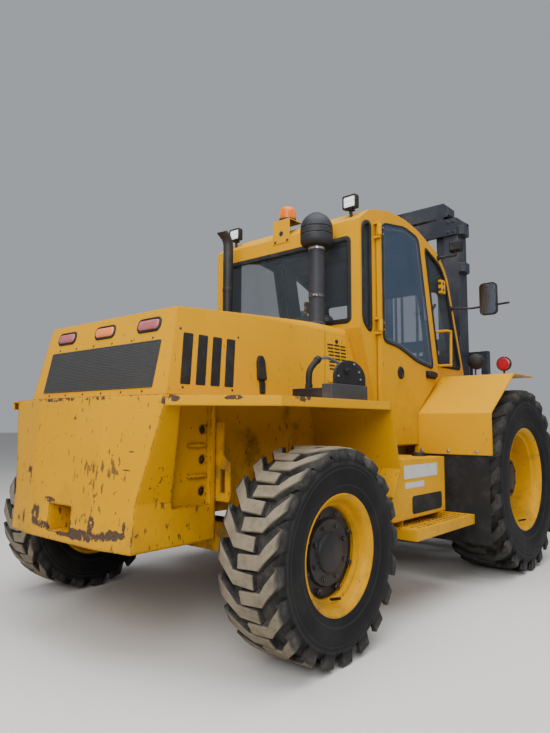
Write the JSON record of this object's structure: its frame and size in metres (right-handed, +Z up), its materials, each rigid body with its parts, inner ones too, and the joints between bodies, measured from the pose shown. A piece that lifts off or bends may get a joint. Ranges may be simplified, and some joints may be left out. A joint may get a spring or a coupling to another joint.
{
  "type": "rough terrain forklift",
  "caption": "Rough terrain forklift: closed cab, engine cover, counterweight, steered rear wheels, large driven front wheels and a two-stage tilting mast with forks.",
  "frame": {"origin": "on the floor under the middle of the machine's box, forks included", "axes": "+X towards the fork tips, +Y to the machine's left, +Z up"},
  "size_m": [4.9927, 2.4, 3.039],
  "materials": {
    "yellow_paint": "gloss",
    "rim_paint": "gloss",
    "tyre_rubber": "matte",
    "mast_paint": "satin",
    "fork_steel": "worn satin",
    "chain_steel": "oiled",
    "chrome_rod": "polished",
    "engine_iron": "painted cast",
    "black_metal": "satin",
    "black_plastic": "matte",
    "black_rubber": "matte",
    "tinted_glass": "tinted",
    "red_lens": "gloss",
    "amber_lens": "gloss",
    "seat_vinyl": "grained vinyl"
  },
  "bodies": {
    "chassis": {"frame": "yellow_paint", "counterweight": "yellow_paint", "cowl": "yellow_paint", "engine": "engine_iron", "rear_fenders": "yellow_paint", "cab_frame": "yellow_paint", "cab_glass": "tinted_glass", "seat": "seat_vinyl", "steering_column": "black_plastic", "control_levers": "black_plastic", "front_fenders": "yellow_paint", "mudflaps": "black_rubber", "side_tanks": "yellow_paint", "steps": "yellow_paint", "front_axle": "yellow_paint", "rear_axle": "yellow_paint", "exhaust": "black_metal", "pre_cleaner": "black_plastic", "beacon": "amber_lens", "work_lights": "black_plastic", "mirrors": "black_plastic", "signal_lamps": "red_lens", "headlights": "black_plastic", "battery_box": "black_plastic"},
    "hood": {"hood": "yellow_paint", "hood_grille": "black_metal", "tail_lamps": "red_lens", "hood_latches": "black_rubber"},
    "door_left": {"door_left": "yellow_paint", "door_glass_left": "tinted_glass", "door_handle_left": "black_plastic"},
    "door_right": {"door_right": "yellow_paint", "door_glass_right": "tinted_glass", "door_handle_right": "black_plastic"},
    "knuckle_left": {"knuckle_left": "yellow_paint"},
    "knuckle_right": {"knuckle_right": "yellow_paint"},
    "wheel_rear_left": {"tyre_rear_left": "tyre_rubber", "rim_rear_left": "rim_paint"},
    "wheel_rear_right": {"tyre_rear_right": "tyre_rubber", "rim_rear_right": "rim_paint"},
    "wheel_front_left": {"tyre_front_left": "tyre_rubber", "rim_front_left": "rim_paint"},
    "wheel_front_right": {"tyre_front_right": "tyre_rubber", "rim_front_right": "rim_paint"},
    "mast": {"outer_mast": "mast_paint", "lift_barrels": "mast_paint"},
    "inner_mast": {"inner_mast": "mast_paint", "lift_rods": "chrome_rod", "lift_chains": "chain_steel"},
    "carriage": {"carriage": "mast_paint", "forks": "fork_steel"},
    "tilt_barrels": {"tilt_barrels": "yellow_paint"},
    "tilt_rods": {"tilt_rods": "chrome_rod"}
  },
  "joints": [
    {"name": "kingpin_left", "type": "hinge", "parent": "chassis", "child": "knuckle_left", "pos_m": [-1.7475, 0.77, 0.476], "axis": [0, 0, 1], "range_deg": [-32, 32]},
    {"name": "kingpin_right", "type": "hinge", "parent": "chassis", "child": "knuckle_right", "pos_m": [-1.7475, -0.77, 0.476], "axis": [0, 0, 1], "range_deg": [-32, 32]},
    {"name": "wheel_rear_left_spin", "type": "hinge", "parent": "knuckle_left", "child": "wheel_rear_left", "pos_m": [-1.7475, 0.97, 0.476], "axis": [0, 1, 0], "continuous": true},
    {"name": "wheel_rear_right_spin", "type": "hinge", "parent": "knuckle_right", "child": "wheel_rear_right", "pos_m": [-1.7475, -0.97, 0.476], "axis": [0, 1, 0], "continuous": true},
    {"name": "wheel_front_left_spin", "type": "hinge", "parent": "chassis", "child": "wheel_front_left", "pos_m": [0.5625, 0.99, 0.655], "axis": [0, 1, 0], "continuous": true},
    {"name": "wheel_front_right_spin", "type": "hinge", "parent": "chassis", "child": "wheel_front_right", "pos_m": [0.5625, -0.99, 0.655], "axis": [0, 1, 0], "continuous": true},
    {"name": "hood_hinge", "type": "hinge", "parent": "chassis", "child": "hood", "pos_m": [-1.0765, 0, 1.68], "axis": [0, 1, 0], "range_deg": [0, 45]},
    {"name": "door_left_hinge", "type": "hinge", "parent": "chassis", "child": "door_left", "pos_m": [-0.6625, 0.69, 1], "axis": [0, 0, 1], "range_deg": [0, 90]},
    {"name": "door_right_hinge", "type": "hinge", "parent": "chassis", "child": "door_right", "pos_m": [-0.6625, -0.69, 1], "axis": [0, 0, -1], "range_deg": [0, 90]},
    {"name": "mast_tilt", "type": "hinge", "parent": "chassis", "child": "mast", "pos_m": [0.8125, 0, 0.45], "axis": [0, 1, 0], "range_deg": [-8, 10]},
    {"name": "tilt_barrel_pivot", "type": "hinge", "parent": "chassis", "child": "tilt_barrels", "pos_m": [-0.1975, 0, 0.835], "axis": [0, 1, 0], "range_deg": [-2, 2]},
    {"name": "tilt_rod_slide", "type": "slide", "parent": "tilt_barrels", "child": "tilt_rods", "axis": [1, 0, 0], "range_m": [-0.06, 0.075]},
    {"name": "mast_lift", "type": "slide", "parent": "mast", "child": "inner_mast", "axis": [0, 0, 1], "range_m": [0, 1.85]},
    {"name": "carriage_lift", "type": "slide", "parent": "inner_mast", "child": "carriage", "axis": [0, 0, 1], "range_m": [0, 1.85]}
  ],
  "couplings": [
    {"joint": "kingpin_right", "follows": "kingpin_left", "ratio": 1},
    {"joint": "carriage_lift", "follows": "mast_lift", "ratio": 1},
    {"joint": "tilt_rod_slide", "follows": "mast_tilt", "m_per_rad": 0.383},
    {"joint": "tilt_barrel_pivot", "follows": "mast_tilt", "ratio": 0.04}
  ]
}
